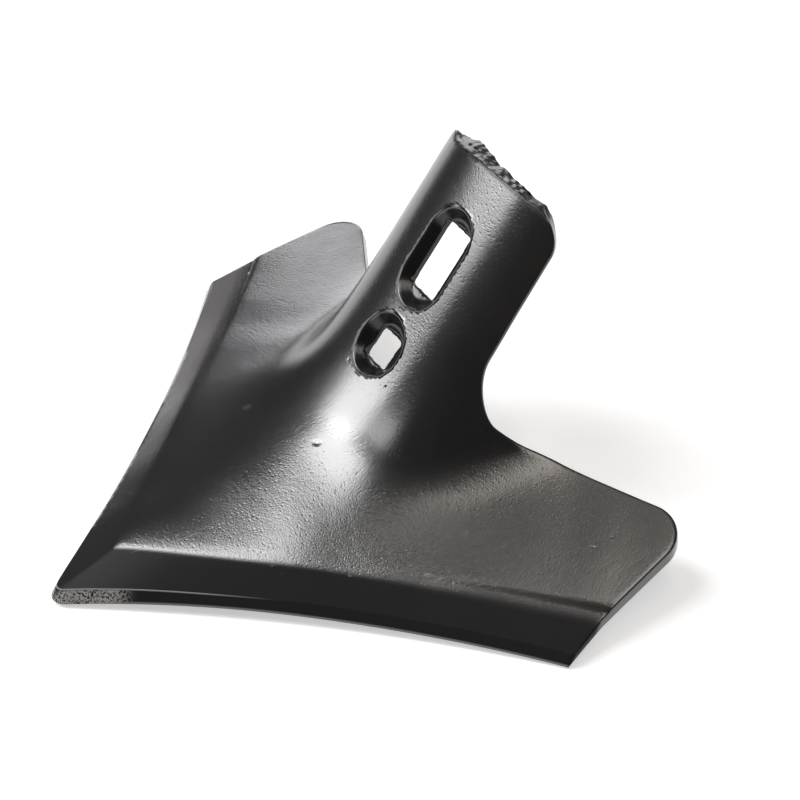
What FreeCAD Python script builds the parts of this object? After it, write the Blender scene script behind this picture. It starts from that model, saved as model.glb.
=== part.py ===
import FreeCAD, Part
import math
import os

# Duckfoot sweep: one pressed blade with two swept wings and a bolt-on stem.
# Millimetres. The point looks along -Y, +X is the right wing and +Z is up.
# It is drawn from the spot where the chords of its two cutting edges meet on the ground.

# Wings
half_span = 91.75          # centre line to the outer corner
corner_back = 93.7         # point to the outer corner, along Y
edge_hollow = 4.6          # how far the cutting edge curves in from its chord
wing_rise = 0.329          # slope of a wing, square to its chord
wing_droop = 0.0009        # how that slope eases towards the rear
plate = 4.2                # plate thickness

# Ridge between the wings
ridge_nose = 4.2           # rounding of the ridge at the point
ridge_growth = 0.148       # how the rounding opens out towards the stem

# Stem
stem_slope = 1.168         # rise over run, high up
stem_start = 69.53         # where the plane of the stem meets the ground
stem_bow = 0.00428         # roundness across the middle of the stem
stem_flank = 1.0e-5        # extra fall of its flanks
root_blend = 14.1          # softness of the bend between stem and wings
stem_half_root = 27.5      # half width in the throat
stem_half_end = 26.1       # half width at the cut end
stem_corner = 8.0          # rounded corners of the cut end

# Outer end and rear edge of a wing
kink_in = 3.55             # outer corner to the kink, towards the centre line
kink_back = 10.8           # the same along Y
kink_round = 20.0
tip_in = 10.55             # outer corner to the rear corner, towards the centre line
tip_back = 45.2            # the same along Y
tip_round = 9.0
bend_out = 15.3            # side of the stem to the bend of the rear edge
bend_back = 14.9           # throat to that bend, along Y
bend_round = 25.0
throat_back = 104.3        # Y where the side of the stem and the rear edge would cross
throat_round = 4.3

# Ground edge
blunt_height = 3.2         # height of the blunt face
blunt_lean = 1.9           # how far the blunt face leans back
bevel_nose = 14.6          # chord to the upper line of the bevel, at the point
bevel_tip = 11.2           # the same at the outer corner
nose_round = 4.0           # plan radius of the point

# Bolt holes in the stem
head_radius = 8.3          # countersink at the front face
sink_angle = 40.0          # half angle of the countersink
neck = 9.6                 # square neck of the lower hole
slot_neck = 10.2           # width of the slot behind its countersink
neck_land = 1.4            # straight wall left behind the countersink
hole_back = 98.3           # Y of the lower hole on the front face
hole_pitch = 25.6          # lower hole to the middle of the slot, along the stem
head_travel = 10.8         # how far a bolt head can slide in the slot
neck_travel = 8.4          # how far its neck can
end_wall = 12.0            # slot to the cut end, on the front face

# Working room around the blade
margin = 5.0
room = 60.0
skin_spans = (40, 32)      # spans of the upper face, across and along

chord = math.hypot(half_span, corner_back)
along = (half_span / chord, corner_back / chord)
stem_tilt = math.atan(stem_slope)
plate_rise = plate * math.hypot(1.0, wing_rise)


def vec(x, y, z=0.0):
    return FreeCAD.Vector(x, y, z)


# How far a point lies behind the chord of its wing
def inward(x, y):
    return along[0] * y - along[1] * abs(x)


def wing_top(x, y):
    soft = ridge_nose + ridge_growth * max(y, 0.0)
    depth = inward(math.hypot(x, soft), y)
    return wing_rise * depth - wing_droop * depth * abs(depth) + plate_rise


def stem_top(x, y):
    fall = stem_bow * x ** 2 + stem_flank * x ** 4
    return stem_slope * (y - stem_start) - fall / math.cos(stem_tilt)


# Height of the upper face: wings and stem run into one another
def top(x, y):
    low = wing_top(x, y)
    high = stem_top(x, y)
    return 0.5 * (low + high + math.hypot(low - high, root_blend))


# Slope angle of the front face of the stem on its centre line
def face_tilt(y):
    return math.atan2(top(0.0, y + 0.5) - top(0.0, y - 0.5), 1.0)


# Y reached by following the front face upwards for a distance
def up_face(y, distance):
    steps = 40
    for step in range(steps):
        y += distance / steps * math.cos(face_tilt(y))
    return y


slot_back = up_face(hole_back, hole_pitch)
stem_end_back = up_face(slot_back, 0.5 * head_travel + head_radius + end_wall)


def upper_skin():
    half = half_span + margin
    rear = max(stem_end_back, corner_back + tip_back) + 2.0 * margin
    across, back = skin_spans
    rows = []
    for i in range(across + 1):
        x = half * (2.0 * i / across - 1.0)
        line = [(rear + margin) * j / back - margin for j in range(back + 1)]
        rows.append([vec(x, y, top(x, y)) for y in line])
    surface = Part.BSplineSurface()
    surface.interpolate(rows)
    return surface.toShape()


# Closed wire through corners, each rounded by its own radius
def rounded_wire(corners, height):
    edges = []
    ends = []
    for i, (here, radius) in enumerate(corners):
        point = vec(here[0], here[1], height)
        before = corners[i - 1][0]
        after = corners[(i + 1) % len(corners)][0]
        came = (vec(before[0], before[1], height) - point).normalize()
        goes = (vec(after[0], after[1], height) - point).normalize()
        if radius == 0.0:
            ends.append((point, point))
            continue
        half = 0.5 * came.getAngle(goes)
        reach = radius / math.tan(half)
        middle = (came + goes).normalize() * (radius / math.sin(half) - radius)
        ends.append((point + came * reach, point + goes * reach))
        edges.append(Part.Arc(ends[-1][0], point + middle, ends[-1][1]).toShape())
    for i, (start, stop) in enumerate(ends):
        edges.append(Part.makeLine(ends[i - 1][1], start))
    return Part.Wire(Part.__sortEdges__(edges))


# Half width of the stem, a distance back from the point
def stem_half(y):
    share = (y - throat_back) / (stem_end_back - throat_back)
    return stem_half_root + share * (stem_half_end - stem_half_root)


# Plan of the blade, left over-wide along the cutting edge
def blank():
    run = vec(kink_in, -kink_back).normalize() * margin
    bend = (stem_half_root + bend_out, throat_back + bend_back)
    over = stem_end_back + 2.0 * margin
    right = [
        ((half_span + run.x, corner_back + run.y), 0.0),
        ((half_span - kink_in, corner_back + kink_back), kink_round),
        ((half_span - tip_in, corner_back + tip_back), tip_round),
        (bend, bend_round),
        ((stem_half_root, throat_back), throat_round),
        ((stem_half(over), over), 0.0),
    ]
    left = [((-spot[0], spot[1]), radius) for spot, radius in reversed(right)]
    wire = rounded_wire([((0.0, -margin), 0.0)] + right + left, -room)
    return Part.Face(wire).extrude(vec(0.0, 0.0, 4.0 * room))


# Moves a shape drawn flat on to the front face of the stem: X across, Y up the stem, Z out of it
def on_stem(shape, y):
    tilt = FreeCAD.Rotation(vec(1.0, 0.0), math.degrees(face_tilt(y)))
    shape.Placement = FreeCAD.Placement(vec(0.0, y, top(0.0, y)), tilt)
    return shape


# What lies past the cut end of the stem and its rounded corners
def beyond_end():
    half = stem_half(stem_end_back - stem_corner)
    wide = 2.0 * half
    end = rounded_wire([((-half, 0.0), stem_corner), ((-half, -room), 0.0),
                        ((half, -room), 0.0), ((half, 0.0), stem_corner)], -room)
    outer = rounded_wire([((-wide, room), 0.0), ((-wide, -stem_corner), 0.0),
                          ((wide, -stem_corner), 0.0), ((wide, room), 0.0)], -room)
    face = Part.Face(outer).cut(Part.Face(end))
    return on_stem(face.extrude(vec(0.0, 0.0, 2.0 * room)), stem_end_back)


# Straight hole for the square neck of a bolt, lengthened by what the neck can slide
def square_hole(width, travel, y):
    length = width + travel
    corner = vec(-0.5 * width, -0.5 * length, -room / 3.0)
    return on_stem(Part.makeBox(width, length, 2.0 * room / 3.0, corner), y)


# Round-ended wire, drawn flat
def slot_wire(radius, travel, height):
    low = -0.5 * travel
    high = 0.5 * travel
    bottom = Part.Arc(vec(-radius, low, height), vec(0.0, low - radius, height), vec(radius, low, height))
    upper = Part.Arc(vec(radius, high, height), vec(0.0, high + radius, height), vec(-radius, high, height))
    edges = [bottom.toShape(), upper.toShape()]
    if travel > 0.0:
        edges.append(Part.makeLine(vec(radius, low, height), vec(radius, high, height)))
        edges.append(Part.makeLine(vec(-radius, high, height), vec(-radius, low, height)))
    return Part.Wire(Part.__sortEdges__(edges))


# Seat of a bolt head: straight down to the front face, then tapered towards the neck
def head_seat(travel, y):
    depth = plate - neck_land
    small = head_radius - depth * math.tan(math.radians(sink_angle))
    mouth = Part.Face(slot_wire(head_radius, travel, 0.0)).extrude(vec(0.0, 0.0, 2.0 * plate))
    rims = [slot_wire(head_radius, travel, 0.0), slot_wire(small, travel, -depth)]
    return on_stem(mouth.fuse(Part.makeLoft(rims, True, True)), y)


# Section of what the grinder takes off the right wing, square to the chord
def ground_section(share):
    hollow = edge_hollow * 4.0 * share * (1.0 - share)
    crease = bevel_nose + (bevel_tip - bevel_nose) * share ** 3

    def spot(depth, height):
        x = along[0] * chord * share - along[1] * depth
        y = along[1] * chord * share + along[0] * depth
        return vec(x, y, height)

    foot = spot(hollow, 0.0)
    foot.z = top(foot.x, foot.y) - plate_rise
    brow = spot(crease, 0.0)
    brow.z = top(brow.x, brow.y)
    lip = spot(hollow + blunt_lean, foot.z + blunt_height)
    grade = (brow.z - lip.z) / (crease - hollow - blunt_lean)
    low = foot.z - blunt_height
    points = [
        spot(hollow - blunt_lean, low),
        lip,
        spot(crease + margin, brow.z + margin * grade),
        spot(crease + margin, room),
        spot(-3.0 * margin, room),
        spot(-3.0 * margin, low),
    ]
    return Part.makePolygon(points + [points[0]])


def ground_edge():
    return Part.makeLoft([ground_section(share) for share in (-0.15, 0.15, 0.5, 0.85, 1.15)], True)


# Rounds the point between the two hollow edges
def nose_trim():
    half = math.atan2(half_span, corner_back) - math.atan(4.0 * edge_hollow / chord)
    reach = nose_round / math.tan(half)
    side = vec(reach * math.sin(half), reach * math.cos(half), -room)
    other = vec(-side.x, side.y, -room)
    front = nose_round / math.sin(half) - nose_round
    arc = Part.Arc(side, vec(0.0, front, -room), other).toShape()
    ahead = [other, vec(-2.0 * margin, -2.0 * margin, -room), vec(2.0 * margin, -2.0 * margin, -room), side]
    face = Part.Face(Part.Wire([arc] + Part.makePolygon(ahead).Edges))
    return face.extrude(vec(0.0, 0.0, 2.0 * room))


def build():
    skin = upper_skin().common(blank())
    skin = skin.cut(beyond_end())
    skin = skin.cut([square_hole(neck, 0.0, hole_back), square_hole(slot_neck, neck_travel, slot_back)])
    blade = skin.Faces[0].makeOffsetShape(-plate, 0.01, fill=True)
    right = ground_edge()
    left = right.mirror(vec(0.0, 0.0), vec(1.0, 0.0))
    blade = blade.cut([right, left])
    blade = blade.cut(nose_trim())
    blade = blade.cut([head_seat(0.0, hole_back), head_seat(head_travel, slot_back)])
    return blade.Solids[0]


# Stands the blade on Z = 0 with the middle of its plan over the origin
def placed(blade):
    box = blade.optimalBoundingBox()
    blade.translate(vec(0.0, -box.Center.y, -box.ZMin))
    return blade


os.makedirs("parts", exist_ok=True)
placed(build()).exportStep("parts/duckfoot_sweep.step")
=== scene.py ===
import bpy
import math
import numpy as np
from mathutils import Matrix
from mathutils.geometry import delaunay_2d_cdt


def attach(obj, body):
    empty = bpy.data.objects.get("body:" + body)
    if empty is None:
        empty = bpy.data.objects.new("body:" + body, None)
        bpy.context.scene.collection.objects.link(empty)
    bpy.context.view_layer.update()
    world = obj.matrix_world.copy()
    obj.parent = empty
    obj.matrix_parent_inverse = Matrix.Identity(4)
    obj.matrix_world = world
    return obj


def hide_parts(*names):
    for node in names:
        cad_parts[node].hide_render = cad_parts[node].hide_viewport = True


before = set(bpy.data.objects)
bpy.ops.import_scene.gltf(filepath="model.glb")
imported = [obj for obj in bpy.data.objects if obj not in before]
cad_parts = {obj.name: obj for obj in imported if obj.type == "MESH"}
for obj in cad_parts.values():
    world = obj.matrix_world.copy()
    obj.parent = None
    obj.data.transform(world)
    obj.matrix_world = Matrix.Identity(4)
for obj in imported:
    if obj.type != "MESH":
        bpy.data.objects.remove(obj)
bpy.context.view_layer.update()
print("frame loaded")

# The blade is worked out in millimetres from the spot where the chords of its
# two cutting edges meet on the ground, and moved to the frame's origin at the end.
blade = {
    "halfSpan": 91.75,        # centre line to the outer corner
    "cornerBack": 93.7,       # point to the outer corner
    "edgeHollow": 4.6,        # hollow of the cutting edge
    "wingRise": 0.329,        # slope of a wing
    "wingDroop": 0.0009,      # easing of that slope
    "plate": 4.2,
    "ridgeNose": 4.2,         # rounding of the ridge at the point
    "ridgeGrowth": 0.148,     # what it gains with each millimetre back
    "stemSlope": 1.168,       # rise over run, high up
    "stemStart": 69.53,       # where the stem's plane would meet the ground
    "stemBow": 0.00428,       # fall to its sides, with the square of the distance
    "stemFlank": 1.0e-5,      # and with its fourth power
    "rootBlend": 14.1,        # softness where the stem meets the wings
    "stemHalfRoot": 27.5,
    "stemHalfEnd": 26.1,
    "stemCorners": (8.6, 4.2),       # rounding of the cut end's right and left corner
    "endReach": 25.7,         # middle of the slot to the cut end, along the stem
    "endStretch": 10.0,       # last stretch of the stem's sides, drawn on its own face
    "endFlare": 0.25,         # how much wider the stem is there
    "kink": (3.55, 10.8, 20.0),      # first corner of a wing's end: in, back, rounding
    "tip": (10.55, 45.2, 9.0),       # the corner behind it
    "bend": (15.3, 14.9, 25.0),      # of the rear edge, out and back from the throat, rounding
    "throat": (104.3, 4.3),   # back, rounding
    "bluntHeight": 3.2,       # blunt face of the cutting edge: height, and how far its top leans back
    "bluntLean": 1.9,
    "bevelNose": 14.6,        # width of the bevel at the point
    "bevelTip": 11.2,         # and at the outer corners
    "noseRound": 4.0,         # rounding of the point
    "endsIn": (0.6, 1.0),     # lip and foot end this far inside the line of a wing's end
    "cornerFade": (8.0, 2.5),        # lengths over which the corner's lead and its sharpness fade
    "bevelRidge": 1.3,        # rounding where the two bevels meet at the point
    "bevelRunOut": 2.0,       # how far the ground face goes on past the crease
    "creaseSoft": (0.25, 1.3, 0.55),    # softness at the point, what it gains, the share from which it does
    "wallRound": 0.85,        # rounding of the rolled edges
    "lipRound": 0.3,          # rounding of the ground lip
    "underRound": 0.6,        # rounding of the under edges
    "footRound": 0.3,         # rounding of the edge that runs in the soil
    "gridPitch": 0.75,        # spacing of the upper skin's points
    "gridRows": 0.86,         # spacing of their rows, in pitches
    "gridClear": 0.55,        # room left along the loops, in pitches
    "underGrid": 1.7,         # the under skin's pitch, in pitches of the upper one
    "stations": 180,          # points along a cutting edge
    "wallStep": 0.5,          # spacing of the points along the other edges
}

bolt = {
    "head": 8.3,              # radius of a countersink
    "sinkAngle": 40.0,        # of its cone, from the axis
    "land": 1.4,              # depth of the neck under it
    "holeBack": 98.3,         # point to the lower hole
    "pitch": 25.6,            # lower hole to the slot, along the stem
    "rimRound": 0.35,
    "underRim": 0.3,          # rounding of the neck's under rim
    "seamRoom": 0.1,          # the cone ends at least this far outside the neck
    "neckPower": 9.0,         # how square the neck's corners are
    "ragged": (0.14, 0.05),   # unevenness of the neck's walls, slow and fast
    "breakDrops": (0.10, 0.28),    # depths below the cone's end at which the neck starts
    # slide of the head, width and length of the neck, its place beside the countersink's middle
    "hole": (0.0, 9.0, 8.4, -0.9, -0.6),
    "slot": (10.8, 10.1, 18.4, -0.8, 0.0),
    "rings": (96, 136),       # points round the hole and the slot
}

chord = math.hypot(blade["halfSpan"], blade["cornerBack"])
along = (blade["halfSpan"] / chord, blade["cornerBack"] / chord)
tilt = math.atan(blade["stemSlope"])
plate = blade["plate"]
plateRise = plate * math.hypot(1.0, blade["wingRise"])
shift = np.array([0.0, -70.444, 0.3471])    # to the frame's origin

# Waves that a forged face keeps, in millimetres
forging = {
    "ripple": 0.060,
    "roll": 0.055,
    "swell": 0.045,
    "lift": (0.050, 33.0, 21.0, 24.0),    # of the ridge behind the point: slope, middle, length, half width
}


# Forged face: sines of unlike lengths, and a straight slope that fades as a bell, which lifts the ridge
def forgedWaves(x, y):
    ripple = forging["ripple"] * np.sin(x / 4.9 + 1.3 * np.sin(y / 9.7))
    ripple = ripple * np.sin(y / 5.7 + 0.9 * np.sin(x / 11.0))
    roll = forging["roll"] * np.sin(x / 10.3 + y / 13.1 + 0.7)
    swell = forging["swell"] * np.sin(y / 8.1 - x / 15.7 + 2.1)
    slope, middle, length, wide = forging["lift"]
    lift = slope * (y - middle) * np.exp(-((y - middle) / length) ** 2 - (x / wide) ** 2)
    return ripple + (roll + swell) - lift


# Wing: slope times the depth behind the chord, easing with the square of that depth
def wingTop(x, y):
    soft = blade["ridgeNose"] + blade["ridgeGrowth"] * np.maximum(y, 0.0)
    depth = along[0] * y - along[1] * np.hypot(x, soft)
    return blade["wingRise"] * depth - blade["wingDroop"] * depth * np.abs(depth) + plateRise


# Stem: a tilted plane that falls away to both sides with the square and the fourth power
def stemTop(x, y):
    fall = blade["stemBow"] * x ** 2 + blade["stemFlank"] * x ** 4
    return blade["stemSlope"] * (y - blade["stemStart"]) - fall / math.cos(tilt)


# Upper face before grinding: the higher of wing and stem, softened where they meet
def plainTop(x, y):
    low = wingTop(x, y)
    high = stemTop(x, y)
    return 0.5 * (low + high + np.hypot(low - high, blade["rootBlend"]))


# Slope angle of the stem's front face on the centre line
def faceTilt(y):
    ends = plainTop(np.zeros(2), np.array([y - 0.5, y + 0.5]))
    return math.atan(float(ends[1] - ends[0]))


# Y reached by following that face upwards for a distance
def upFace(y, distance):
    for step in range(40):
        y += distance / 40.0 * math.cos(faceTilt(y))
    return y


# Point of a wing from its share of the chord and its depth behind it
def onWing(share, depth, side):
    x = along[0] * chord * share - along[1] * depth
    y = along[1] * chord * share + along[0] * depth
    return side * x, y


# Hollow of the cutting edge: a parabola over the chord, nothing at its ends
def hollowAt(share):
    return blade["edgeHollow"] * 4.0 * share * (1.0 - share)


# Height of the edge that runs in the soil: the upper face above it, less the plate
def footHeight(share):
    fx, fy = onWing(share, hollowAt(share), 1.0)
    return plainTop(fx, fy) - plateRise


# Bevel: a straight line from the lip to the crease in each section across the chord
def bevelTop(x, y):
    wide = np.hypot(x, blade["bevelRidge"])
    share = (along[0] * wide + along[1] * y) / chord
    depth = along[0] * y - along[1] * wide
    lipDepth = hollowAt(share) + blade["bluntLean"]
    crease = blade["bevelNose"] + (blade["bevelTip"] - blade["bevelNose"]) * share ** 3
    bx, by = onWing(share, crease, 1.0)
    lipZ = footHeight(share) + blade["bluntHeight"]
    grade = (plainTop(bx, by) - lipZ) / (crease - lipDepth)
    beyond = np.maximum(depth - crease - blade["bevelRunOut"], 0.0)    # then it turns up out of the way
    return lipZ + (depth - lipDepth) * grade + 2.0 * beyond ** 2, share


# Finished upper face: the lower of plain face and bevel, sharp near the point, softer outwards
def top(x, y):
    high = plainTop(x, y)
    ground, share = bevelTop(x, y)
    sharp, gain, softFrom = blade["creaseSoft"]
    soft = sharp + gain * np.clip((share - softFrom) / 0.5, 0.0, 1.0) ** 1.5
    cut = 0.5 * (high + ground - np.hypot(high - ground, soft))
    return cut + forgedWaves(x, y)


# Unit normals of a height field, from its slopes
def normals(field, x, y):
    step = 0.02
    sx = (field(x + step, y) - field(x - step, y)) / (2.0 * step)
    sy = (field(x, y + step) - field(x, y - step)) / (2.0 * step)
    out = np.stack([-sx, -sy, np.ones_like(sx)], -1)
    return out / np.linalg.norm(out, axis=-1, keepdims=True)


# Point of the upper face over a plan spot
def upperPoint(x, y):
    return np.stack([x, y, top(x, y)], -1)


# Under face: the plain upper face carried back along its own normal by the plate
def underPoint(x, y):
    back = normals(plainTop, x, y)
    return np.stack([x, y, plainTop(x, y)], -1) - plate * back


# Line through corners, each but the ends an arc of its own radius, as evenly spaced points
def roundedPath(corners, step):
    spots = np.array([corner[0] for corner in corners], float)
    radii = np.array([corner[1] for corner in corners], float)
    pieces = [spots[:1]]
    for i in range(1, len(spots) - 1):
        came = (spots[i - 1] - spots[i]) / np.linalg.norm(spots[i - 1] - spots[i])
        goes = (spots[i + 1] - spots[i]) / np.linalg.norm(spots[i + 1] - spots[i])
        half = 0.5 * math.acos(float(np.clip(came @ goes, -1.0, 1.0)))
        reach = radii[i] / math.tan(half)
        middle = spots[i] + (came + goes) / np.linalg.norm(came + goes) * radii[i] / math.sin(half)
        first = spots[i] + came * reach - middle
        last = spots[i] + goes * reach - middle
        turn = math.atan2(first[0] * last[1] - first[1] * last[0], first @ last)
        angles = np.linspace(0.0, turn, max(6, int(abs(turn) * radii[i] / step)))
        cos, sin = np.cos(angles), np.sin(angles)
        turned = np.stack([first[0] * cos - first[1] * sin, first[0] * sin + first[1] * cos], -1)
        pieces.append(middle + turned)
    pieces.append(spots[-1:])
    return respaced(np.concatenate(pieces), step)


# The same line with its points evenly spaced along its length
def respaced(line, step):
    reach = np.concatenate([[0.0], np.cumsum(np.linalg.norm(np.diff(line, axis=0), axis=1))])
    marks = np.linspace(0.0, reach[-1], max(2, int(round(reach[-1] / step)) + 1))
    return np.stack([np.interp(marks, reach, line[:, k]) for k in range(line.shape[1])], -1)


# Stem axes at a distance back: its spot on the front face, up the stem and out of that face
def stemFrame(y):
    lean = faceTilt(y)
    origin = np.array([0.0, y, float(plainTop(np.zeros(1), np.array([y]))[0])])
    upAxis = np.array([0.0, math.cos(lean), math.sin(lean)])
    outAxis = np.array([0.0, -math.sin(lean), math.cos(lean)])
    return origin, upAxis, outAxis


# Point at (across, up, out) of a stem frame
def framePoint(frameAt, across, up, out):
    origin, upAxis, outAxis = frameAt
    acrossAxis = np.array([1.0, 0.0, 0.0])
    return origin + across[:, None] * acrossAxis + up[:, None] * upAxis + out[:, None] * outAxis


# How far (across, up) of a stem frame lies out of its plane when dropped on to the upper face
def onStemFace(frameAt, across, up):
    out = np.zeros_like(across)
    for step in range(10):
        spot = framePoint(frameAt, across, up, out)
        out = out - (spot[:, 2] - top(spot[:, 0], spot[:, 1])) * frameAt[2][2]
    return out


# Point of the upper face at (across, up) of a stem frame
def stemSpot(frameAt, across, up):
    return framePoint(frameAt, across, up, onStemFace(frameAt, across, up))


slotBack = upFace(bolt["holeBack"], bolt["pitch"])
stemEnd = stemFrame(upFace(slotBack, blade["endReach"]))


# Where the outer end's line crosses the cutting edge at a given depth behind the hollow edge
def edgeEnd(extra, shiftIn):
    shares = np.linspace(0.9, 1.1, 4001)
    x, y = onWing(shares, hollowAt(shares) + extra, 1.0)
    kinkIn, kinkBack = blade["kink"][:2]
    line = blade["halfSpan"] - kinkIn * (y - blade["cornerBack"]) / kinkBack - shiftIn
    return shares[np.argmin(np.abs(x - line))]


# Upper outline of a half: from the outer corner along the wing and the stem's side to its middle
def wallPath(start, step, corner):
    half = blade["halfSpan"]
    back = blade["cornerBack"]
    endBack = stemEnd[0][1]
    throat = blade["throat"][0]
    narrowing = (blade["stemHalfRoot"] - blade["stemHalfEnd"]) / (endBack - throat)
    upTo = endBack - blade["endStretch"]
    corners = [
        (start, 0.0),
        ((half - blade["kink"][0], back + blade["kink"][1]), blade["kink"][2]),
        ((half - blade["tip"][0], back + blade["tip"][1]), blade["tip"][2]),
        ((blade["stemHalfRoot"] + blade["bend"][0], throat + blade["bend"][1]), blade["bend"][2]),
        ((blade["stemHalfRoot"], throat), blade["throat"][1]),
        ((blade["stemHalfRoot"] - narrowing * (upTo - throat), upTo), 0.0),
    ]
    wide = blade["stemHalfEnd"] + blade["endFlare"]
    endCorners = [((wide, -blade["endStretch"]), 0.0), ((wide, 0.0), corner), ((0.0, 0.0), 0.0)]
    endLine = roundedPath(endCorners, step)
    endSpots = stemSpot(stemEnd, endLine[:, 0], endLine[:, 1])
    wing = roundedPath(corners, step)
    joined = np.concatenate([wing, endSpots[endSpots[:, 1] > upTo + 1.0, :2]])
    return respaced(joined, step)


# Right half of a cutting edge line: an arc round the point, then the hollow edge to a share of the chord
def edgePath(extra, endShare, count):
    half = math.atan2(blade["halfSpan"], blade["cornerBack"]) - math.atan(4.0 * blade["edgeHollow"] / chord)
    radius = blade["noseRound"] - extra
    angles = np.linspace(-0.5 * math.pi, -half, 12)
    arcBack = blade["noseRound"] / math.sin(half)
    arc = np.stack([radius * np.cos(angles), arcBack + radius * np.sin(angles)], -1)
    shares = np.linspace(0.0, endShare, 600)
    x, y = onWing(shares, hollowAt(shares) + extra, 1.0)
    keep = x > arc[-1, 0] + 0.6
    line = np.concatenate([arc, np.stack([x[keep], y[keep]], -1)])
    return respaced(line, np.linalg.norm(np.diff(line, axis=0), axis=1).sum() / count)


# Point on the wall under a spot of the outline, as low as the ground face cuts it
def wallUpper(x, y):
    back = normals(plainTop, x, y)
    plain = np.stack([x, y, plainTop(x, y)], -1)
    down = np.zeros_like(x)
    for step in range(12):
        spot = plain - down[:, None] * back
        down = down + (spot[:, 2] - top(spot[:, 0], spot[:, 1])) * 0.9
    return plain - down[:, None] * back


# Spot of the plain face whose under point lies over the given one
def above(points):
    spot = points[:, :2].copy()
    for step in range(8):
        spot = points[:, :2] + plate * normals(plainTop, spot[:, 0], spot[:, 1])[:, :2]
    return spot


# Unit vectors, with the last axis as x, y, z
def direction(v):
    return v / np.maximum(np.linalg.norm(v, axis=-1, keepdims=True), 1e-9)


# Tangent of a closed line of points
def heading(loop):
    return direction(np.roll(loop, -1, axis=0) - np.roll(loop, 1, axis=0))


# Rows of a rounded corner: a quadratic curve from a + reach * one to a + reach * other, with a as its pull
def roundedRows(corner, one, other, radius, rows):
    cosine = np.clip(np.sum(one * other, axis=-1), -0.999, 0.999)
    reach = np.minimum(radius / np.tan(0.5 * np.arccos(cosine)), 1.6 * radius)[:, None]
    first = corner + reach * one
    last = corner + reach * other
    marks = np.linspace(0.0, 1.0, rows)
    return [(1 - t) ** 2 * first + 2 * t * (1 - t) * corner + t ** 2 * last for t in marks]


# Both halves of a line that starts and ends on the centre line, as one closed loop
def closedLoop(right, left):
    other = left[-2:0:-1] * np.array([-1.0] + [1.0] * (left.shape[1] - 1))
    return np.concatenate([right, other])


# Zero at low, one at high and a smooth S between them: 3 t squared less 2 t cubed
def smoothStep(low, high, value):
    t = np.clip((value - low) / (high - low), 0.0, 1.0)
    return t * t * (3.0 - 2.0 * t)


# Torn end of the stem, in millimetres; a wave is its height, its radians per millimetre and its phase
tear = {
    "zone": (-3.0, -0.4),     # along the stem: none of it here, all of it there
    "halfReach": 30.0,        # nothing but the stem lies this near the centre line
    "drawn": (1.5, -22.5, 3.4),    # left corner pulled out by the shear: how far, middle, width
    "underShort": 0.9,        # share of that pull which the under edge lacks
    "lean": (1.9, -0.050),    # how far the tear runs on behind the front edge, and its change across
    "bulge": (0.7, -11.0, 5.0),    # more of it left of the middle: how far, middle, width
    "leanFrom": (-28.0, -14.0),    # the lean grows from the left corner inwards
    "frontWaves": ((0.07, 1.1, 0.5), (0.03, 2.7, 2.0)),
    "backWaves": ((0.16, 0.8, 0.0), (0.06, 2.1, 1.0)),
    "faceWaves": (0.05, 0.05),
    "split": 0.38,            # depth of the splits in the torn face
    "sharper": 0.35,          # what the tear takes off the rounding of its edges
}


# Bell: height times e to the minus square of the distance from the middle, in widths
def bell(x, height, middle, width):
    return height * np.exp(-((x - middle) / width) ** 2)


# Sum of sines
def waveSum(x, waves):
    return sum(height * np.sin(rate * x + phase) for height, rate, phase in waves)


# Relief of the torn face, across the stem (x) and through the plate (t): small sines and two grooves
def tornDepth(x, t):
    upperSplit = bell(t, 1.0, 0.34 + 0.05 * np.sin(0.5 * x), 0.05)
    upperSplit = upperSplit * smoothStep(1.0, -4.0, x)
    lowerSplit = bell(t, 1.0, 0.62 + 0.06 * np.sin(0.7 * x + 2.0), 0.05)
    lowerSplit = lowerSplit * smoothStep(6.0, 0.0, np.abs(x + 6.0))
    slow, fast = tear["faceWaves"]
    rough = slow * np.sin(1.9 * x + 9.0 * t) + fast * np.sin(4.1 * x - 14.0 * t + 1.0) * np.sin(1.3 * x)
    return rough - tear["split"] * (upperSplit + lowerSplit)


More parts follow.
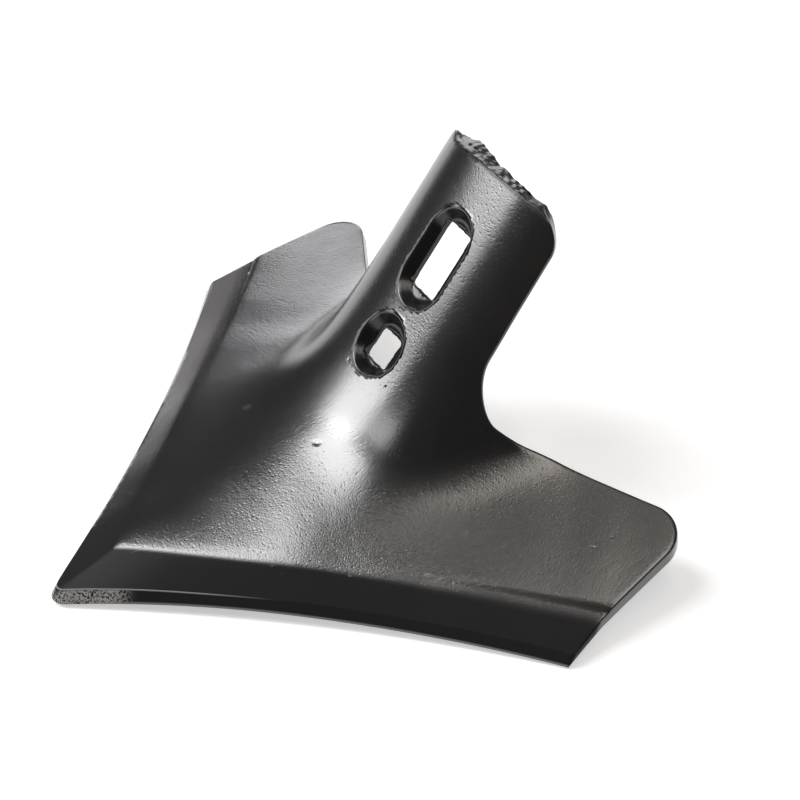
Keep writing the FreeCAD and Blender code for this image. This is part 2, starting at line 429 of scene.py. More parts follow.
# Outer band of a half, station by station: upper corner line, under corner line, and traits.
# The under line is the upper one carried through the plate, and at the torn end it leans on past it.
def outlineHalf(corner, side):
    lipIn, footIn = blade["endsIn"]
    lipShare = edgeEnd(blade["bluntLean"], lipIn)
    footShare = edgeEnd(0.0, footIn)
    count = blade["stations"]
    lip = edgePath(blade["bluntLean"], lipShare, count)[:count + 1]
    foot = edgePath(0.0, footShare, count)[:count + 1]
    lip3 = upperPoint(lip[:, 0], lip[:, 1])
    foot3 = np.stack([foot[:, 0], foot[:, 1], plainTop(foot[:, 0], foot[:, 1]) - plateRise], -1)
    start = above(foot3[-1:])[0]
    path = wallPath(start, blade["wallStep"], corner)
    origin, upAxis = stemEnd[:2]
    place = np.stack([path[:, 0], path[:, 1], plainTop(path[:, 0], path[:, 1])], -1) - origin
    atEnd = smoothStep(*tear["zone"], place @ upAxis) * (path[:, 0] < tear["halfReach"])
    x = side * path[:, 0]
    drawn = bell(x, *tear["drawn"])
    path[:, 1] += atEnd * (drawn + waveSum(x, tear["frontWaves"])) * upAxis[1]
    lean = tear["lean"][0] + tear["lean"][1] * x + bell(x, *tear["bulge"]) + waveSum(x, tear["backWaves"])
    lean = lean * smoothStep(*tear["leanFrom"], x) - tear["underShort"] * drawn
    torn = path + (atEnd * lean * upAxis[1])[:, None] * np.array([0.0, 1.0])
    reach = np.concatenate([[0.0], np.cumsum(np.linalg.norm(np.diff(path, axis=0), axis=1))])
    lead = np.linalg.norm(lip3[-1, :2] - start)
    leadFade, sharpFade = blade["cornerFade"]
    ahead = reach + lead * np.exp(-reach / leadFade)
    upperPath = np.stack([np.interp(ahead, reach, path[:, k]) for k in range(2)], -1)
    upper = wallUpper(upperPath[:, 0], upperPath[:, 1])
    under = underPoint(torn[:, 0], torn[:, 1])
    upper[-1, 0] = under[-1, 0] = lip3[0, 0] = foot3[0, 0] = 0.0
    upperHalf = np.concatenate([lip3[:-1], upper])
    underHalf = np.concatenate([foot3[:-1], under])
    onEdge = np.concatenate([np.ones(count), np.exp(-reach / sharpFade)])
    onEnd = np.concatenate([np.zeros(count), atEnd])
    traits = np.stack([0.0 * onEdge, onEdge, onEnd], -1)    # zeros in the place of x, which is mirrored
    return upperHalf, underHalf, traits


# Both corner lines all the way round, and how much each station is cutting edge or torn end
def outlineLines():
    right = outlineHalf(blade["stemCorners"][0], 1.0)
    left = outlineHalf(blade["stemCorners"][1], -1.0)
    upper, under, traits = (closedLoop(one, other) for one, other in zip(right, left))
    return upper, under, traits[:, 1:]


# Hole: a countersink cone that runs into a square neck, as rows of a profile carried round it.
# The countersink's outline is a circle that slides up the stem, the neck's a superellipse.
def holeRows(y, headTravel, width, length, offAcross, offUp, count):
    frameAt = stemFrame(y)
    head = bolt["head"]
    arc = math.pi * head
    marks = np.arange(count) / count * (2.0 * arc + 2.0 * headTravel)
    # round the slide: up over the top, down the left side, round below, up the right side
    turns = [0.0, arc, arc + headTravel, 2.0 * arc + headTravel]
    angle = np.interp(marks, turns, [0.0, math.pi, math.pi, 2.0 * math.pi])
    side = np.clip(marks - arc, 0.0, headTravel) - np.maximum(marks - 2.0 * arc - headTravel, 0.0)
    centre = 0.5 * headTravel - side
    cos, sin = np.cos(angle), np.sin(angle)
    slope = math.tan(math.radians(bolt["sinkAngle"]))
    depth = plate - bolt["land"]
    small = head - depth * slope
    mouth = np.full(count, head)
    for step in range(8):
        out = onStemFace(frameAt, mouth * cos, centre + mouth * sin)
        mouth = head + np.minimum(out, 0.0) * slope

    # the neck's outline, seen from the countersink's axis: a rectangle with tight corners, a little ragged
    halfWide = np.where(cos > 0.0, 0.5 * width + offAcross, 0.5 * width - offAcross)
    halfLong = np.where(sin > 0.0, 0.5 * length + offUp - centre, 0.5 * length - offUp + centre)
    power = bolt["neckPower"]
    slow, fast = bolt["ragged"]
    neck = np.abs(cos / halfWide) ** power + np.abs(sin / np.maximum(halfLong, 0.5)) ** power
    neck = neck ** (-1.0 / power)
    neck = neck + slow * np.sin(angle * 5.0 + y) * np.sin(angle * 3.0 + 1.0)
    neck = neck + fast * np.sin(angle * 17.0 + y)
    seam = np.maximum(neck + bolt["seamRoom"], small)
    seamOut = -depth + (seam - small) / slope

    def spot(radius, out):
        return framePoint(frameAt, radius * cos, centre + radius * sin, out)

    skin = stemSpot(frameAt, mouth * cos, centre + mouth * sin)
    probe = 0.5    # a step outwards, to read where the faces lead
    wider = mouth + probe
    outward = direction(stemSpot(frameAt, wider * cos, centre + wider * sin) - skin)
    cone = direction(spot(seam, seamOut) - skin)
    rows = roundedRows(skin, outward, cone, bolt["rimRound"], 5)
    start = rows[-1]
    seamSpot = spot(seam, seamOut)
    for t in np.linspace(0.0, 1.0, 7)[1:-1]:
        rows.append(start + t * (seamSpot - start))
    rows.append(seamSpot)
    firstDrop, drop = bolt["breakDrops"]
    rows.append(spot(0.5 * (seam + neck), seamOut - firstDrop))
    rows.append(spot(neck, seamOut - drop))
    ground = np.full(count, -plate)
    for step in range(4):
        under = spot(neck, ground)
        lifted = above(under)
        back = underPoint(lifted[:, 0], lifted[:, 1])
        ground = ground + np.sum((back - under) * frameAt[2], axis=-1)
    under = spot(neck, ground)
    for t in (0.25, 0.5, 0.75):
        rows.append(spot(neck, seamOut - drop + t * (ground - seamOut + drop)))
    wallUp = direction(spot(neck, seamOut - drop) - under)
    widerAt = above(spot(neck + probe, ground))
    outwardUnder = direction(underPoint(widerAt[:, 0], widerAt[:, 1]) - under)
    rows += roundedRows(under, wallUp, outwardUnder, bolt["underRim"], 4)
    return np.stack(rows)


# Keeps the points that lie inside a set of closed loops (odd number of crossings)
def insideLoops(points, loops):
    odd = np.zeros(len(points), bool)
    for loop in loops:
        ax, ay = loop[:, 0], loop[:, 1]
        bx, by = np.roll(ax, -1), np.roll(ay, -1)
        for part in np.array_split(np.arange(len(points)), max(1, len(points) // 4000)):
            px, py = points[part, 0][:, None], points[part, 1][:, None]
            spans = (ay > py) != (by > py)
            with np.errstate(divide="ignore", invalid="ignore"):
                cross = ax + (py - ay) / (by - ay) * (bx - ax)
            odd[part] ^= (np.sum(spans & (px < cross), axis=1) % 2).astype(bool)
    return odd


# Skin: a grid of plan points trimmed by the loops and joined to them into triangles
def skinPatch(loops, pitch):
    border = np.concatenate(loops)
    low, high = border.min(axis=0), border.max(axis=0)
    xs = np.arange(low[0], high[0], pitch)
    ys = np.arange(low[1], high[1], pitch * blade["gridRows"])
    gx, gy = np.meshgrid(xs, ys)
    gx = gx + 0.5 * pitch * (np.arange(len(ys)) % 2)[:, None]
    grid = np.stack([gx.ravel(), gy.ravel()], -1)
    grid = grid[insideLoops(grid, loops)]
    near = np.zeros(len(grid), bool)
    for part in np.array_split(np.arange(len(grid)), max(1, len(grid) // 2000)):
        gap = np.hypot(grid[part, 0][:, None] - border[:, 0], grid[part, 1][:, None] - border[:, 1])
        near[part] = gap.min(axis=1) < blade["gridClear"] * pitch
    grid = grid[~near]
    points = np.concatenate([border, grid])
    edges = []
    first = 0
    for loop in loops:
        ring = np.arange(len(loop))
        edges += np.stack([first + ring, first + np.roll(ring, -1)], -1).tolist()
        first += len(loop)
    faces = np.array(delaunay_2d_cdt(points.tolist(), edges, [], 0, 1e-7, False)[2])
    corners = points[faces]
    faces = faces[insideLoops(corners.mean(axis=1), loops)]
    corners = points[faces]
    first, second = corners[:, 1] - corners[:, 0], corners[:, 2] - corners[:, 0]
    turned = first[:, 0] * second[:, 1] - first[:, 1] * second[:, 0] < 0.0
    faces[turned] = faces[turned][:, ::-1]
    return points, faces


# Quads between neighbouring rows of closed loops, given the index of every point of every row
def bandFaces(index):
    here, beyond = index[:-1], index[1:]
    corners = [here, np.roll(here, -1, axis=1), np.roll(beyond, -1, axis=1), beyond]
    return np.stack(corners, -1).reshape(-1, 4)


wear = {
    "footUp": 0.6,                  # the foot's mark on the row above it
    "bluntDepth": (2.2, 1.5),       # blunt face, by depth behind the edge: no mark here, full mark there
    "bluntHeight": (3.7, 3.2),      # and by height above the foot
    "tornAlong": (-1.6, -0.2),      # torn end, along the stem
    "tornBack": 110.0,
    "creaseBlur": (0.8, 1.8),       # softness of the bevel's border, and what it gains outwards
    "blurShare": (0.5, 0.95),
    "bevelAcross": (-16.0, -10.0),  # the right bevel's mark, across the blade
    "bevelShare": 1.04,             # where both bevels end
    "sheenAcross": (-14.0, -26.0),   # painted sheen on the left bevel, across the blade
    "sheenShare": (0.2, 0.75),       # and along the edge
}


# The whole blade as one closed mesh: upper skin, outer band, hole linings and under skin.
# With it goes a mark for every point: lip, foot, inside of a hole.
def bladeMesh():
    upper, under, traits = outlineLines()
    onEdge, atEnd = traits[:, 0], traits[:, 1]
    wall = direction(under - upper)
    upperNormal = normals(top, upper[:, 0], upper[:, 1])
    underNormal = normals(plainTop, under[:, 0], under[:, 1])
    inUpper = direction(np.cross(upperNormal, heading(upper)))
    inUnder = direction(np.cross(underNormal, heading(under)))
    sharper = tear["sharper"] * atEnd
    upperRound = blade["wallRound"] + (blade["lipRound"] - blade["wallRound"]) * onEdge - sharper
    underRound = blade["underRound"] + (blade["footRound"] - blade["underRound"]) * onEdge - sharper
    first = roundedRows(upper, inUpper, wall, upperRound, 6)
    last = roundedRows(under, -wall, inUnder, underRound, 5)
    walls = []
    for t in np.linspace(0.0, 1.0, 14)[1:-1]:
        deep = atEnd * tornDepth(upper[:, 0], t)
        walls.append(first[-1] + t * (last[0] - first[-1]) + deep[:, None] * stemEnd[1])
    band = np.stack(first + walls + last)
    band[0, :, 2] = top(band[0, :, 0], band[0, :, 1])

    holeRing, slotRing = bolt["rings"]
    holes = [holeRows(bolt["holeBack"], *bolt["hole"], holeRing)]
    holes.append(holeRows(slotBack, *bolt["slot"], slotRing))
    for hole in holes:
        hole[0, :, 2] = top(hole[0, :, 0], hole[0, :, 1])

    upperLoops = [band[0, :, :2]] + [hole[0, :, :2] for hole in holes]
    upperPlan, upperFaces = skinPatch(upperLoops, blade["gridPitch"])
    underLoops = [above(band[-1])] + [above(hole[-1]) for hole in holes]
    underPlan, underFaces = skinPatch(underLoops, blade["underGrid"] * blade["gridPitch"])
    upperSpots = upperPoint(upperPlan[:, 0], upperPlan[:, 1])
    underSpots = underPoint(underPlan[:, 0], underPlan[:, 1])
    print("skins", len(upperPlan), len(underPlan))

    spots = [upperSpots, underSpots]
    worn = [np.zeros((len(upperSpots) + len(underSpots), 3))]
    faces = [upperFaces, underFaces[:, ::-1] + len(upperSpots)]
    quads = []
    count = len(upperSpots) + len(underSpots)
    startUpper = 0
    startUnder = len(upperSpots)
    for turn, rows in enumerate([band] + holes):
        ring = rows.shape[1]
        inner = rows[1:-1].reshape(-1, 3)
        innerIndex = count + np.arange(len(inner)).reshape(-1, ring)
        upperRing = startUpper + np.arange(ring)[None]
        underRing = startUnder + np.arange(ring)[None]
        index = np.concatenate([upperRing, innerIndex, underRing])
        spots.append(inner)
        marked = np.zeros((len(rows) - 2, ring, 3))
        marked[4:, :, 2] = min(turn, 1)    # countersinks and necks, below their rounded rims
        if turn == 0:    # the outer band's own rounded edges, upper and lower
            marked[:len(first) - 1, :, 0] = onEdge
            marked[1 - len(last):, :, 1] = onEdge
            marked[-len(last), :, 1] = wear["footUp"] * onEdge
        worn.append(marked.reshape(-1, 3))
        quads.append(bandFaces(index)[:, ::-1])
        count += len(inner)
        startUpper += ring
        startUnder += ring
    return np.concatenate(spots), np.concatenate(faces), quads, np.concatenate(worn)


# One object from points in millimetres and lists of faces, moved to the frame's origin
def addPiece(name, spots, triangles, quads):
    quads = np.concatenate(quads) if len(quads) else np.zeros((0, 4), int)
    mesh = bpy.data.meshes.new(name)
    mesh.vertices.add(len(spots))
    mesh.vertices.foreach_set("co", ((spots + shift) * 0.001).ravel())
    mesh.loops.add(triangles.size + quads.size)
    mesh.loops.foreach_set("vertex_index", np.concatenate([triangles.ravel(), quads.ravel()]))
    mesh.polygons.add(len(triangles) + len(quads))
    starts = np.concatenate([np.arange(len(triangles)) * 3, triangles.size + np.arange(len(quads)) * 4])
    mesh.polygons.foreach_set("loop_start", starts)
    mesh.update(calc_edges=True)
    mesh.validate()
    mesh.shade_smooth()
    piece = bpy.data.objects.new(name, mesh)
    bpy.context.collection.objects.link(piece)
    print(name, len(mesh.vertices), "points", len(mesh.polygons), "faces")
    return piece


spots, triangles, quads, worn = bladeMesh()
forgedBlade = addPiece("forgedBlade", spots, triangles, quads)


# Marks kept with the mesh for the paint. Each is one on its own part of the blade and fades out beside it,
# apart from share, which runs along a cutting edge from the point to the corner.
def addMarks(piece, spots, worn):
    x, y, z = spots.T
    wide = np.abs(x)
    share = (along[0] * wide + along[1] * y) / chord
    depth = along[0] * y - along[1] * wide - hollowAt(share)
    height = z - footHeight(share)
    blunt = smoothStep(*wear["bluntDepth"], depth) * smoothStep(*wear["bluntHeight"], height)
    lip, foot, sunk = worn.T
    upStem = (spots - stemEnd[0]) @ stemEnd[1]
    onStem = (wide < tear["halfReach"]) * (y > wear["tornBack"])
    torn = smoothStep(*wear["tornAlong"], upStem) * onStem
    crease = blade["bevelNose"] + (blade["bevelTip"] - blade["bevelNose"]) * share ** 3 - hollowAt(share)
    sharp, gain = wear["creaseBlur"]
    blur = sharp + gain * smoothStep(*wear["blurShare"], share)
    ground = smoothStep(0.9 * blur, -1.1 * blur, depth - crease) * (share < wear["bevelShare"])
    bevel = ground * smoothStep(*wear["bevelAcross"], x)
    # painted sheen: a lighter patch on the left bevel
    bevelSheen = ground * smoothStep(*wear["sheenAcross"], x) * smoothStep(*wear["sheenShare"], share)
    marks = {"blunt": blunt, "foot": foot, "lip": lip, "torn": torn, "bevel": bevel, "bevelSheen": bevelSheen,
             "share": share, "sunk": sunk}
    for name, values in marks.items():
        kept = piece.data.attributes.new(name, "FLOAT", "POINT")
        kept.data.foreach_set("value", values.astype(np.float32))
    return list(marks)


markNames = addMarks(forgedBlade, spots, worn)

# Colours as Blender's linear values, sizes in millimetres
paint = {
    "colour": (0.0080, 0.0076, 0.0080, 1.0),
    "dustAndSheen": (0.031, 0.027, 0.023, 1.0),     # thin brownish film of dust, which also carries a painted sheen on the right wing
    "ground": (0.024, 0.023, 0.024, 1.0),   # thin paint of the ground bevel
    "leftBevelSheen": (0.105, 0.098, 0.103, 1.0),  # painted sheen on the left bevel
    "bare": (0.42, 0.41, 0.39, 1.0),        # ground metal at the lip
    "broken": (0.060, 0.057, 0.056, 1.0),   # torn end of the stem
    # painted shade in the splits of the torn end
    "split": (0.008, 0.008, 0.008, 1.0),
    "roughness": 0.20,
    "ior": 2.0,
    "gloss": (0.5, 0.014),    # of the paint, of the ground bevel
    "dull": (0.25, 0.40),     # what is left of the gloss on the torn end and inside the holes
    "relief": 0.000046,       # metres for a height of one
    "flatBevel": 0.6,         # share of the relief that the ground bevel lacks
    "peel": (2.3, 0.55),      # orange peel: waves per millimetre, height
    "lumps": (0.22, 0.6),
    "pits": (0.85, 0.38, 0.36),      # cells per millimetre, radius in cells, depth
    "pitPatches": (0.35, 0.54, 0.64),      # waves per millimetre, noise over which the pits end
    "filmAndSheen": (0.045, 0.36, 0.66),     # waves per millimetre, noise where it is thinnest and thickest
    "filmAndSheenStrength": (0.10, 0.8),
    "filmAndSheenAcross": (12.0, 48.0),      # painted sheen on the right wing: it grows between these, from the next to all of itself
    "filmAndSheenLeft": 0.12,
    "grit": (2.2, 0.40, 0.54),       # specks of bare metal: waves per millimetre, noise none and full
    "lipShare": (0.26, 0.46, 0.8),   # bare lip: share of the edge where it fades and ends, strength
    "footShare": (0.06, 0.14, 0.6),  # bare foot: share at which it starts and is full, strength
    "pointShare": (0.13, 0.18),      # bare point: share at which it starts to fade and ends
    "fibres": (170.0, 1900.0, 1900.0),     # torn end's grain, longer across the stem
    "splitShadeNoise": (0.8, 0.38, 0.48), # its waves, noise in a split's painted shade and beside one
    "tornCover": 0.85,
    # small marks: middle, half sizes, turn, how far they stand out of the paint
    "dents": [
        ((6.5, 4.7, 20.3), (1.8, 1.3, 2.0), 0.5, -2.4),
        ((9.9, 23.3, 31.7), (0.5, 0.6, 1.0), 0.0, -1.8),
        ((70.9, 43.7, 13.1), (0.7, 0.7, 1.0), 0.0, -1.8),
        ((71.6, 49.1, 14.0), (0.6, 0.6, 1.0), 0.0, -1.8),
        ((-5.6, 22.0, 31.2), (0.7, 0.9, 1.2), 0.0, -1.8),
        ((13.9, -18.2, 13.4), (0.5, 0.5, 1.0), 0.0, -1.6),
        ((29.0, -21.6, 9.3), (1.0, 0.6, 1.2), 0.8, 3.0),
        ((32.1, -20.6, 8.5), (0.8, 0.5, 1.2), 0.8, 3.0),
        ((42.6, -7.7, 9.0), (0.7, 0.5, 1.2), 0.8, 3.0),
    ],
    # pale marks: middle, half sizes, turn, strength
    "scuffs": [
        ((8.9, -33.9, 10.8), (0.16, 4.6, 2.0), -0.21, 0.20),
        ((4.7, -45.4, 8.8), (0.16, 2.7, 2.0), -0.28, 0.16),
        ((-81.6, 32.3, 8.3), (0.5, 0.5, 1.2), 0.0, 2.0),
        ((-20.6, -0.7, 16.3), (1.9, 1.4, 2.0), 0.5, 0.07),
    ],
}


# Node of a tree, with its settings
def addNode(tree, kind, **settings):
    node = tree.nodes.new(kind)
    for key, value in settings.items():
        setattr(node, key, value)
    return node


def link(tree, source, target):
    tree.links.new(source, target)


# Sum, product or the like of two sockets or numbers
def mathNode(tree, operation, first, second):
    node = addNode(tree, "ShaderNodeMath", operation=operation)
    for socket, value in zip(node.inputs, (first, second)):
        if isinstance(value, (int, float)):
            socket.default_value = value
        else:
            link(tree, value, socket)
    return node.outputs[0]


# Cloudy noise round one half
def noiseNode(tree, coords, scale, detail=2.0, rough=0.5):
    node = addNode(tree, "ShaderNodeTexNoise")
    node.inputs["Scale"].default_value = scale
    node.inputs["Detail"].default_value = detail
    node.inputs["Roughness"].default_value = rough
    link(tree, coords, node.inputs["Vector"])
    return node.outputs["Fac"]


# Smooth ramp: one value at low, the other at high, a smooth S between them
def rampNode(tree, value, low, high, fromValue=0.0, toValue=1.0):
    node = addNode(tree, "ShaderNodeMapRange", interpolation_type="SMOOTHSTEP")
    link(tree, value, node.inputs["Value"])
    node.inputs["From Min"].default_value = low
    node.inputs["From Max"].default_value = high
    node.inputs["To Min"].default_value = fromValue
    node.inputs["To Max"].default_value = toValue
    return node.outputs["Result"]


# First colour at zero, second at one
def mixColour(tree, fac, first, second):
    node = addNode(tree, "ShaderNodeMix", data_type="RGBA")
    link(tree, fac, node.inputs["Factor"])
    for socket, value in ((node.inputs[6], first), (node.inputs[7], second)):
        if isinstance(value, tuple):
            socket.default_value = value
        else:
            link(tree, value, socket)
    return node.outputs[2]


# Soft-edged ellipsoid in the pattern's space: one inside, nothing outside
def spotNode(tree, coords, middle, size, turn, core=0.45):
    spot = addNode(tree, "ShaderNodeMapping", vector_type="TEXTURE")
    spot.inputs["Location"].default_value = middle
    spot.inputs["Rotation"].default_value = (0.0, 0.0, turn)
    spot.inputs["Scale"].default_value = size
    link(tree, coords, spot.inputs["Vector"])
    reach = addNode(tree, "ShaderNodeVectorMath", operation="LENGTH")
    link(tree, spot.outputs["Vector"], reach.inputs[0])
    return rampNode(tree, reach.outputs["Value"], core, 1.0, 1.0, 0.0)


# Object coordinates stretched by three factors
def stretched(tree, scale):
    where = addNode(tree, "ShaderNodeTexCoord").outputs["Object"]
    mapping = addNode(tree, "ShaderNodeMapping")
    mapping.inputs["Scale"].default_value = scale
    link(tree, where, mapping.inputs["Vector"])
    return mapping.outputs["Vector"]


# Relief of the paint: fine peel, slow lumps, scattered pits and the single dents
def paintRelief(tree, mm, marks):
    peelScale, peelHeight = paint["peel"]
    peel = mathNode(tree, "MULTIPLY", noiseNode(tree, mm, peelScale, 3.0, 0.55), peelHeight)
    lumpScale, lumpHeight = paint["lumps"]
    lumps = mathNode(tree, "MULTIPLY", noiseNode(tree, mm, lumpScale), lumpHeight)
    pitScale, radius, depth = paint["pits"]
    cells = addNode(tree, "ShaderNodeTexVoronoi", feature="F1")
    cells.inputs["Scale"].default_value = pitScale
    link(tree, mm, cells.inputs["Vector"])
    pits = rampNode(tree, cells.outputs["Distance"], 0.0, radius)
    patchScale, patchFrom, patchTo = paint["pitPatches"]
    sparse = rampNode(tree, noiseNode(tree, mm, patchScale), patchFrom, patchTo)
    pits = mathNode(tree, "MAXIMUM", pits, sparse)
    height = mathNode(tree, "ADD", peel, lumps)
    height = mathNode(tree, "ADD", height, mathNode(tree, "MULTIPLY", pits, depth))
    for middle, size, turn, out in paint["dents"]:
        dent = mathNode(tree, "MULTIPLY", spotNode(tree, mm, middle, size, turn, 0.0), out)
        height = mathNode(tree, "ADD", height, dent)
    bump = addNode(tree, "ShaderNodeBump")
    plain = mathNode(tree, "SUBTRACT", 1.0, mathNode(tree, "MULTIPLY", marks["bevel"], paint["flatBevel"]))
    link(tree, plain, bump.inputs["Strength"])
    bump.inputs["Distance"].default_value = paint["relief"]
    link(tree, height, bump.inputs["Height"])
    return bump.outputs["Normal"]


# Colour: black paint, a film of dust with a painted sheen on the right wing, a painted sheen on the left
# bevel, pale scuffs, bare metal at the ground edge, and the torn end with painted shade in its splits
def paintColour(tree, mm, marks):
    # the film of dust and painted sheen lies mostly on the right wing, and not on the bevel
    apart = addNode(tree, "ShaderNodeSeparateXYZ")
    link(tree, mm, apart.inputs["Vector"])
    filmAndSheenScale, thin, thick = paint["filmAndSheen"]
    filmAndSheen = rampNode(tree, noiseNode(tree, mm, filmAndSheenScale, 4.0, 0.6), thin, thick, *paint["filmAndSheenStrength"])
    across = rampNode(tree, apart.outputs["X"], *paint["filmAndSheenAcross"], paint["filmAndSheenLeft"], 1.0)
    filmAndSheen = mathNode(tree, "MULTIPLY", filmAndSheen, across)
    colour = mixColour(tree, filmAndSheen, paint["colour"], paint["dustAndSheen"])
    colour = mixColour(tree, marks["bevel"], colour, paint["ground"])
    # painted sheen on the left bevel
    colour = mixColour(tree, marks["bevelSheen"], colour, paint["leftBevelSheen"])
    for middle, size, turn, strength in paint["scuffs"]:
        pale = mathNode(tree, "MULTIPLY", spotNode(tree, mm, middle, size, turn), strength)
        colour = mixColour(tree, pale, colour, paint["bare"])
    # bare metal: a thin line along the lip near the point, the lower edge, the chipped point itself
    gritScale, gritFrom, gritTo = paint["grit"]
    grit = rampNode(tree, noiseNode(tree, mm, gritScale), gritFrom, gritTo)
    fades, ends, strength = paint["lipShare"]
    nearLip = rampNode(tree, marks["share"], fades, ends, strength, 0.0)
    lipBare = mathNode(tree, "MULTIPLY", marks["lip"], nearLip)
    starts, full, strength = paint["footShare"]
    pastPoint = rampNode(tree, marks["share"], starts, full, 0.0, strength)
    footBare = mathNode(tree, "MULTIPLY", marks["foot"], pastPoint)
    nearPoint = rampNode(tree, marks["share"], *paint["pointShare"], 1.0, 0.0)
    pointBare = mathNode(tree, "MULTIPLY", marks["blunt"], nearPoint)
    pointBare = mathNode(tree, "MULTIPLY", pointBare, grit)
    bare = mathNode(tree, "MAXIMUM", mathNode(tree, "MAXIMUM", lipBare, footBare), pointBare)
    colour = mixColour(tree, bare, colour, paint["bare"])
    # torn end: grey broken metal, with painted shade in splits that run across the stem
    splitShadeScale, inSplitShade, beside = paint["splitShadeNoise"]
    fibres = noiseNode(tree, stretched(tree, paint["fibres"]), splitShadeScale, 3.0, 0.6)
    broken = mixColour(tree, rampNode(tree, fibres, inSplitShade, beside), paint["split"], paint["broken"])
    return mixColour(tree, mathNode(tree, "MULTIPLY", marks["torn"], paint["tornCover"]), colour, broken)


# Gloss: full on the paint, nearly none on the ground bevel, less on the torn end and inside the holes
def paintGloss(tree, marks):
    full, bevel = paint["gloss"]
    torn, sunk = paint["dull"]
    gloss = rampNode(tree, marks["bevel"], 0.0, 1.0, full, bevel)
    gloss = mathNode(tree, "MULTIPLY", gloss, rampNode(tree, marks["torn"], 0.0, 1.0, 1.0, torn))
    return mathNode(tree, "MULTIPLY", gloss, rampNode(tree, marks["sunk"], 0.0, 1.0, 1.0, sunk))


# Finish of the whole blade: black paint whose colour, relief and gloss follow the marks
def blackPaint():
    material = bpy.data.materials.new("blackPaint")
    material.use_nodes = True
    tree = material.node_tree
    shader = tree.nodes["Principled BSDF"]
    mm = stretched(tree, (1000.0, 1000.0, 1000.0))    # pattern in millimetres
    marks = {}
    for name in markNames:
        marks[name] = addNode(tree, "ShaderNodeAttribute", attribute_name=name).outputs["Fac"]
    link(tree, paintColour(tree, mm, marks), shader.inputs["Base Color"])
    link(tree, paintRelief(tree, mm, marks), shader.inputs["Normal"])
    link(tree, paintGloss(tree, marks), shader.inputs["Specular IOR Level"])
    shader.inputs["Roughness"].default_value = paint["roughness"]
    shader.inputs["IOR"].default_value = paint["ior"]
    return material


forgedBlade.data.materials.append(blackPaint())
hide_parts("duckfoot_sweep")
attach(forgedBlade, "root")
print("paint done")

studio = {
    "floorColour": (0.80, 0.80, 0.80, 1.0),
    "floorRoughness": 0.9,
    "floorReach": 9.0,        # half its width, in metres
    "floorDrop": 0.0004,      # below the blade's lowest point
    "floorGlow": 0.52,        # seen by the camera and in reflections, never lights the blade's colour
    "worldStrength": 0.06,
    # toward (x, y, z), distance, width, length, power, colour; the length runs along the last vector
    "lamps": [
        ((-0.43, -0.250, 0.868), 2.0, 0.98, 0.66, 16.8, (1.0, 1.0, 1.0), (0.260, -0.952, -0.150)),
        ((-0.590, -0.520, 0.618), 2.0, 0.79, 0.95, 17.6, (1.0, 1.0, 1.0), (-0.112, -0.730, -0.674)),
        ((-0.20, -0.60, 0.77), 2.0, 0.80, 0.50, 4.0, (1.0, 0.99, 0.98), (0.0, -1.0, 0.0)),
        ((0.17, 0.17, 0.97), 2.0, 1.50, 0.52, 7.2, (1.0, 0.94, 0.87), (0.0, 1.0, 0.0)),
        ((-0.40, 0.23, 0.88), 2.0, 0.66, 0.54, 0.7, (1.0, 0.94, 0.87), (0.0, 1.0, 0.0)),
        ((-0.845, 0.47, 0.24), 2.0, 1.27, 0.73, 9.6, (0.98, 0.97, 1.0), (0.0, 0.0, 1.0)),
    ],
}


# Floor: a wide level sheet that shows white to the camera and in reflections
def addFloor():
    reach, low = studio["floorReach"], -studio["floorDrop"]
    mesh = bpy.data.meshes.new("floor")
    corners = [(-reach, -reach, low), (reach, -reach, low), (reach, reach, low), (-reach, reach, low)]
    mesh.from_pydata(corners, [], [(0, 1, 2, 3)])
    floor = bpy.data.objects.new("floor", mesh)
    bpy.context.collection.objects.link(floor)
    material = bpy.data.materials.new("floorPaper")
    material.use_nodes = True
    tree = material.node_tree
    shader = tree.nodes["Principled BSDF"]
    shader.inputs["Base Color"].default_value = studio["floorColour"]
    shader.inputs["Roughness"].default_value = studio["floorRoughness"]
    shader.inputs["Emission Color"].default_value = (1.0, 1.0, 1.0, 1.0)
    path = addNode(tree, "ShaderNodeLightPath").outputs
    seen = mathNode(tree, "MAXIMUM", path["Is Camera Ray"], path["Is Glossy Ray"])
    seen = mathNode(tree, "MAXIMUM", seen, path["Is Transmission Ray"])
    link(tree, mathNode(tree, "MULTIPLY", seen, studio["floorGlow"]), shader.inputs["Emission Strength"])
    material.cycles.emission_sampling = "NONE"
    mesh.materials.append(material)


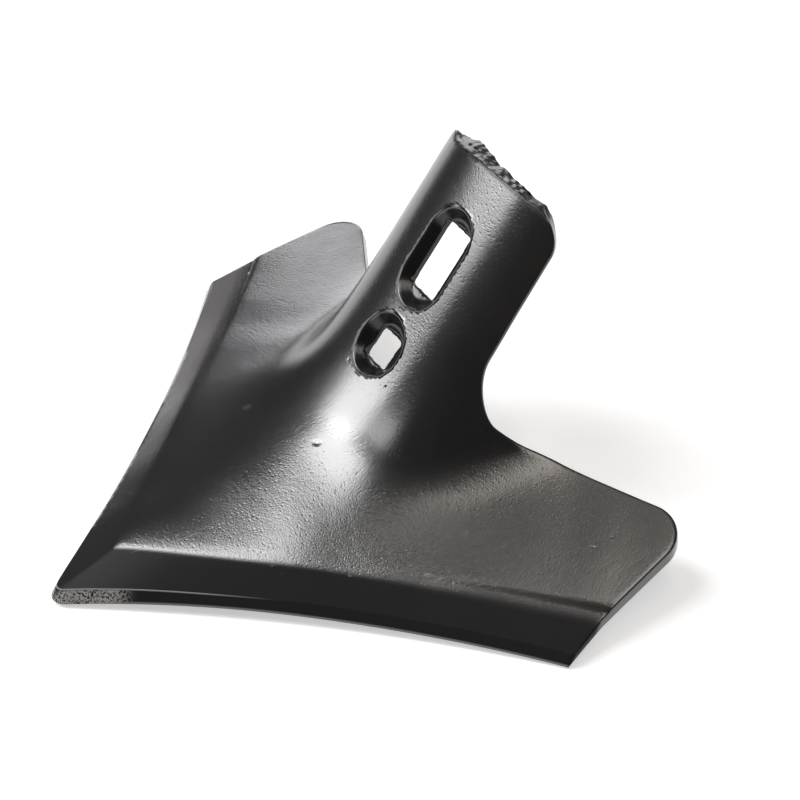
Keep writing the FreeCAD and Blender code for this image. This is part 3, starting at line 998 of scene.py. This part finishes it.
# Soft lamp: stands off along toward, faces the origin, with its length turned to run
def addLamp(number, toward, distance, width, length, power, colour, run):
    lamp = bpy.data.lights.new("softbox%d" % number, "AREA")
    lamp.shape = "RECTANGLE"
    lamp.size = width
    lamp.size_y = length
    lamp.energy = power
    lamp.color = colour
    back = np.array(toward) / np.linalg.norm(toward)
    side = np.cross(np.array(run), back)
    side = side / np.linalg.norm(side)
    long = np.cross(back, side)
    holder = bpy.data.objects.new("softbox%d" % number, lamp)
    turned = Matrix([list(row) for row in np.stack([side, long, back], -1)])
    holder.matrix_world = Matrix.Translation(back * distance) @ turned.to_4x4()
    bpy.context.collection.objects.link(holder)


addFloor()
for number, lamp in enumerate(studio["lamps"]):
    addLamp(number, *lamp)

world = bpy.data.worlds.new("studio")
bpy.context.scene.world = world
world.use_nodes = True
world.node_tree.nodes["Background"].inputs["Color"].default_value = (1.0, 1.0, 1.0, 1.0)
world.node_tree.nodes["Background"].inputs["Strength"].default_value = studio["worldStrength"]
print("studio done")

# Worked out from the perspective of the picture
view = {
    "picture": 800.0,      # pixels across
    "sensor": 36.0,
    "azimuth": 55.4858,
    "elevation": 44.5622,
    "focal": 2418.56,      # in pixels
    "distance": 589.08,    # in millimetres, to the plane through the blade's point
    "point": (42.26, 605.58),      # pixel of the blade's point
    "centre": (604.51, 644.23),    # pixel where the optical axis meets the picture
    "roll": -0.2729,
}


# Camera: looks down from its azimuth and elevation, set over so that the blade's point falls on its pixel
def addCamera():
    az, el, roll = (math.radians(view[key]) for key in ("azimuth", "elevation", "roll"))
    back = np.array([math.sin(az) * math.cos(el), -math.cos(az) * math.cos(el), math.sin(el)])
    right = np.array([math.cos(az), math.sin(az), 0.0])
    up = np.cross(back, right)
    across = math.cos(roll) * right + math.sin(roll) * up
    over = math.cos(roll) * up - math.sin(roll) * right
    px, py = view["centre"]
    scale = view["distance"] / view["focal"]
    ox = (view["point"][0] - px) * scale
    oy = (py - view["point"][1]) * scale
    place = view["distance"] * back - ox * across - oy * over + shift
    lens = bpy.data.cameras.new("camera")
    lens.sensor_width = view["sensor"]
    lens.lens = view["sensor"] * view["focal"] / view["picture"]
    lens.shift_x = 0.5 - px / view["picture"]
    lens.shift_y = py / view["picture"] - 0.5
    lens.clip_start = 0.01
    holder = bpy.data.objects.new("camera", lens)
    turned = Matrix([list(row) for row in np.stack([across, over, back], -1)])
    holder.matrix_world = Matrix.Translation(place * 0.001) @ turned.to_4x4()
    bpy.context.collection.objects.link(holder)
    bpy.context.scene.camera = holder


addCamera()
bpy.context.scene.view_settings.view_transform = "Standard"
